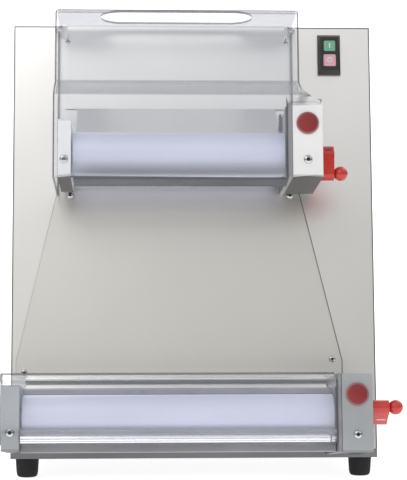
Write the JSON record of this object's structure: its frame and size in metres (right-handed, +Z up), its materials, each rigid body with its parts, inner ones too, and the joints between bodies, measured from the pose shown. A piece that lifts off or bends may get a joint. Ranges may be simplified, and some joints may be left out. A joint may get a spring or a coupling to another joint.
{
  "type": "dough sheeter",
  "caption": "Bench dough sheeter with a sloping stainless casing, two roller stages, clear guards, a chute and roller-gap levers.",
  "frame": {"origin": "centre of the footprint of the whole machine's box, on the surface that the rubber feet stand on", "axes": "+X to the machine's right as the user faces it, -Y towards the user, +Z up"},
  "size_m": [0.532, 0.4349, 0.6349],
  "materials": {
    "stainless_steel": "fine brushed, satin",
    "cast_aluminium": "bead blasted, satin",
    "machined_steel": "turned and ground",
    "dark_metal": "oiled black",
    "roller_plastic": "turned white food-grade plastic, satin",
    "clear_plastic": "clear polycarbonate sheet",
    "black_plastic": "moulded, fine grain",
    "black_rubber": "moulded rubber",
    "belt_rubber": "ribbed drive belt",
    "red_plastic": "moulded, glossy",
    "cap_red": "moulded, satin",
    "green_button": "translucent moulded button",
    "red_button": "translucent moulded button",
    "motor_paint": "dark enamel"
  },
  "bodies": {
    "frame": {"base_plate": "stainless_steel", "front_panel": "stainless_steel", "left_side_panel": "stainless_steel", "right_side_panel": "stainless_steel", "top_panel": "stainless_steel", "back_cover": "stainless_steel", "feed_plate": "stainless_steel", "dough_chute": "stainless_steel", "foot_front_left": "black_rubber", "foot_front_right": "black_rubber", "foot_rear_left": "black_rubber", "foot_rear_right": "black_rubber", "cable_gland": "black_plastic", "switch_housing": "black_plastic", "guard_sensor": "black_plastic", "control_box": "black_plastic", "upper_left_block": "cast_aluminium", "upper_gear_cover": "cast_aluminium", "upper_inner_plate": "machined_steel", "upper_guard_pin_left": "machined_steel", "upper_guard_pin_right": "machined_steel", "upper_red_cap": "cap_red", "lower_left_block": "cast_aluminium", "lower_gear_cover": "cast_aluminium", "lower_inner_plate": "machined_steel", "lower_guard_pin_left": "machined_steel", "lower_guard_pin_right": "machined_steel", "lower_red_cap": "cap_red", "lower_tie_bar": "machined_steel", "jackshaft_bracket": "machined_steel", "drive_shaft_bracket": "machined_steel", "motor": "motor_paint", "gearbox": "cast_aluminium", "upper_belt": "belt_rubber", "lower_belt": "belt_rubber", "long_belt": "belt_rubber"},
    "lower_rear_roller_group": {"lower_rear_roller": "roller_plastic", "lower_rear_gear": "machined_steel", "lower_rear_pulley": "dark_metal"},
    "lower_carriage": {"lower_front_bearing_left": "dark_metal", "lower_front_bearing_right": "dark_metal"},
    "lower_front_roller_group": {"lower_front_roller": "roller_plastic", "lower_front_gear": "machined_steel"},
    "upper_rear_roller_group": {"upper_rear_roller": "roller_plastic", "upper_rear_gear": "machined_steel", "upper_rear_pulley": "dark_metal"},
    "upper_carriage": {"upper_front_bearing_left": "dark_metal", "upper_front_bearing_right": "dark_metal"},
    "upper_front_roller_group": {"upper_front_roller": "roller_plastic", "upper_front_gear": "machined_steel"},
    "drive_shaft_group": {"drive_shaft": "machined_steel"},
    "jackshaft_group": {"jackshaft": "machined_steel"},
    "upper_lever_arm": {"upper_lever": "red_plastic"},
    "upper_lever_plunger": {"upper_plunger": "red_plastic"},
    "lower_lever_arm": {"lower_lever": "red_plastic"},
    "lower_lever_plunger": {"lower_plunger": "red_plastic"},
    "upper_guard_panel": {"upper_guard": "clear_plastic"},
    "lower_guard_panel": {"lower_guard": "clear_plastic"},
    "start_button_cap": {"start_button": "green_button"},
    "stop_button_cap": {"stop_button": "red_button"}
  },
  "joints": [
    {"name": "lower_rear_roller_spin", "type": "hinge", "parent": "frame", "child": "lower_rear_roller_group", "pos_m": [0, -0.10958, 0.08438], "axis": [1, 0, 0], "continuous": true},
    {"name": "lower_gap_slide", "type": "slide", "parent": "frame", "child": "lower_carriage", "axis": [0, -0.9903, 0.1392], "range_m": [0, 0.004]},
    {"name": "lower_front_roller_spin", "type": "hinge", "parent": "lower_carriage", "child": "lower_front_roller_group", "pos_m": [0, -0.16751, 0.09252], "axis": [1, 0, 0], "continuous": true},
    {"name": "upper_rear_roller_spin", "type": "hinge", "parent": "frame", "child": "upper_rear_roller_group", "pos_m": [0, -0.06084, 0.42764], "axis": [1, 0, 0], "continuous": true},
    {"name": "upper_gap_slide", "type": "slide", "parent": "frame", "child": "upper_carriage", "axis": [0, 0.9903, -0.1392], "range_m": [0, 0.004]},
    {"name": "upper_front_roller_spin", "type": "hinge", "parent": "upper_carriage", "child": "upper_front_roller_group", "pos_m": [0, -0.12322, 0.43641], "axis": [1, 0, 0], "continuous": true},
    {"name": "drive_shaft_spin", "type": "hinge", "parent": "frame", "child": "drive_shaft_group", "pos_m": [0, -0.00115, 0.06914], "axis": [1, 0, 0], "continuous": true},
    {"name": "jackshaft_spin", "type": "hinge", "parent": "frame", "child": "jackshaft_group", "pos_m": [0, 0.0471, 0.41247], "axis": [1, 0, 0], "continuous": true},
    {"name": "upper_lever_turn", "type": "hinge", "parent": "frame", "child": "upper_lever_arm", "pos_m": [0, -0.12322, 0.43641], "axis": [-1, 0, 0], "range_deg": [0, 125]},
    {"name": "lower_lever_turn", "type": "hinge", "parent": "frame", "child": "lower_lever_arm", "pos_m": [0, -0.16751, 0.09252], "axis": [1, 0, 0], "range_deg": [0, 125]},
    {"name": "upper_plunger_pull", "type": "slide", "parent": "upper_lever_arm", "child": "upper_lever_plunger", "axis": [1, 0, 0], "range_m": [0, 0.005], "stiffness_N_per_m": 400, "springref_m": -0.002},
    {"name": "lower_plunger_pull", "type": "slide", "parent": "lower_lever_arm", "child": "lower_lever_plunger", "axis": [1, 0, 0], "range_m": [0, 0.005], "stiffness_N_per_m": 400, "springref_m": -0.002},
    {"name": "upper_guard_lift", "type": "hinge", "parent": "frame", "child": "upper_guard_panel", "pos_m": [0, 0.00101, 0.61617], "axis": [1, 0, 0], "range_deg": [-90, 0]},
    {"name": "lower_guard_tilt", "type": "hinge", "parent": "frame", "child": "lower_guard_panel", "pos_m": [0, -0.20324, 0.06826], "axis": [1, 0, 0], "range_deg": [0, 85]},
    {"name": "start_button_press", "type": "slide", "parent": "frame", "child": "start_button_cap", "axis": [0, 0.9903, -0.1392], "range_m": [0, 0.003], "stiffness_N_per_m": 300, "springref_m": -0.001},
    {"name": "stop_button_press", "type": "slide", "parent": "frame", "child": "stop_button_cap", "axis": [0, 0.9903, -0.1392], "range_m": [0, 0.003], "stiffness_N_per_m": 300, "springref_m": -0.001}
  ],
  "couplings": [
    {"joint": "lower_front_roller_spin", "follows": "lower_rear_roller_spin", "ratio": -1},
    {"joint": "upper_rear_roller_spin", "follows": "lower_rear_roller_spin", "ratio": 1},
    {"joint": "upper_front_roller_spin", "follows": "lower_rear_roller_spin", "ratio": -1},
    {"joint": "drive_shaft_spin", "follows": "lower_rear_roller_spin", "ratio": 1},
    {"joint": "jackshaft_spin", "follows": "lower_rear_roller_spin", "ratio": 1},
    {"joint": "upper_lever_turn", "follows": "upper_gap_slide", "rad_per_m": 545.4},
    {"joint": "lower_lever_turn", "follows": "lower_gap_slide", "rad_per_m": 545.4}
  ]
}
